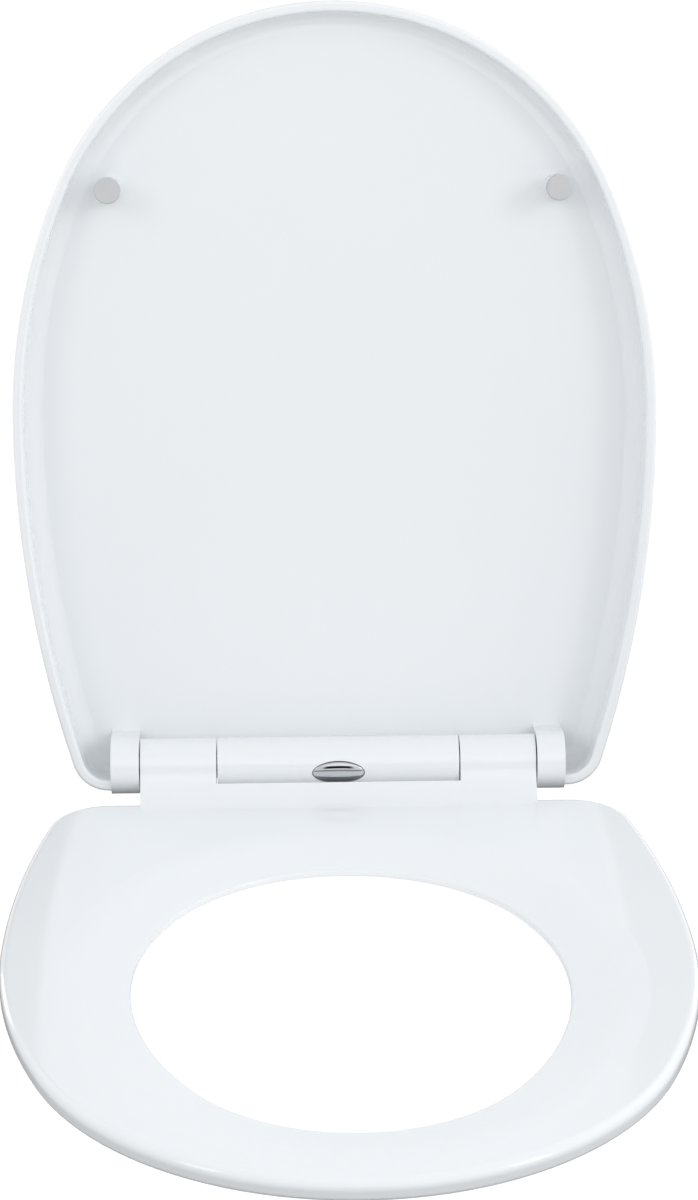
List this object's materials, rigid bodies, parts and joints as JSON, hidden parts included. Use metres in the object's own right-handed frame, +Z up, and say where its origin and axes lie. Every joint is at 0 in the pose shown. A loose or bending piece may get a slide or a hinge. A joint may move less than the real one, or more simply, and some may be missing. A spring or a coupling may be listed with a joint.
{
  "type": "toilet seat",
  "caption": "Soft-close toilet seat: a dished ring and a curved lid turn on a shared axis, carried by a hinge block that clips onto bowl posts and lets go when its button is pressed.",
  "frame": {"origin": "on the bowl's top face, midway between the fixing holes", "axes": "+X to the right as seen from the front, +Y to the back, +Z up; the ring is down and the lid stands open"},
  "size_m": [0.37, 0.5434, 0.5081],
  "materials": {
    "white_moulding": "gloss",
    "white_plastic": "satin",
    "damper_plastic": "satin",
    "steel": "brushed",
    "chrome": "polished",
    "grey_rubber": "matte",
    "white_rubber": "matte",
    "black_rubber": "matte"
  },
  "bodies": {
    "hinge_block": {"hinge_cover": "white_moulding", "hinge_chassis": "white_plastic", "chassis_screws": "steel", "damper_body_left": "damper_plastic", "damper_body_right": "damper_plastic", "damper_cap_left": "damper_plastic", "damper_cap_right": "damper_plastic", "post_left": "steel", "post_right": "steel", "base_plate_left": "steel", "base_plate_right": "steel", "gasket_left": "black_rubber", "gasket_right": "black_rubber", "bolt_left": "steel", "bolt_right": "steel", "bowl_washer_left": "black_rubber", "bowl_washer_right": "black_rubber"},
    "seat": {"seat_ring": "white_moulding", "seat_rotor": "steel", "seat_bush": "white_plastic", "seat_bumper_front_left": "white_rubber", "seat_bumper_front_right": "white_rubber", "seat_bumper_back_left": "white_rubber", "seat_bumper_back_right": "white_rubber"},
    "lid": {"lid": "white_moulding", "lid_rotor": "steel", "lid_bush": "white_plastic", "lid_buffer_left": "grey_rubber", "lid_buffer_right": "grey_rubber"},
    "button": {"release_button": "chrome"},
    "latch_left": {"latch_left": "steel", "latch_spring_left": "steel"},
    "latch_right": {"latch_right": "steel", "latch_spring_right": "steel"},
    "nut_left": {"wing_nut_left": "white_plastic"},
    "nut_right": {"wing_nut_right": "white_plastic"}
  },
  "joints": [
    {"name": "seat_hinge", "type": "hinge", "parent": "hinge_block", "child": "seat", "pos_m": [0, 0.002, 0.0358], "axis": [-1, 0, 0], "range_deg": [0, 103]},
    {"name": "lid_hinge", "type": "hinge", "parent": "hinge_block", "child": "lid", "pos_m": [0, 0.002, 0.0358], "axis": [-1, 0, 0], "range_deg": [-103, 0]},
    {"name": "button_press", "type": "slide", "parent": "hinge_block", "child": "button", "axis": [0, 1, 0], "range_m": [0, 0.0035], "stiffness_N_per_m": 900},
    {"name": "latch_left_slide", "type": "slide", "parent": "hinge_block", "child": "latch_left", "axis": [-1, 0, 0], "range_m": [0, 0.0035], "deforming": ["latch_spring_left"]},
    {"name": "latch_right_slide", "type": "slide", "parent": "hinge_block", "child": "latch_right", "axis": [1, 0, 0], "range_m": [0, 0.0035], "deforming": ["latch_spring_right"]},
    {"name": "nut_left_turn", "type": "hinge", "parent": "hinge_block", "child": "nut_left", "pos_m": [-0.0775, 0, -0.0281], "axis": [0, 0, 1], "continuous": true},
    {"name": "nut_right_turn", "type": "hinge", "parent": "hinge_block", "child": "nut_right", "pos_m": [0.0775, 0, -0.0281], "axis": [0, 0, 1], "continuous": true}
  ],
  "couplings": [
    {"joint": "latch_left_slide", "follows": "button_press", "ratio": 1},
    {"joint": "latch_right_slide", "follows": "button_press", "ratio": 1}
  ]
}
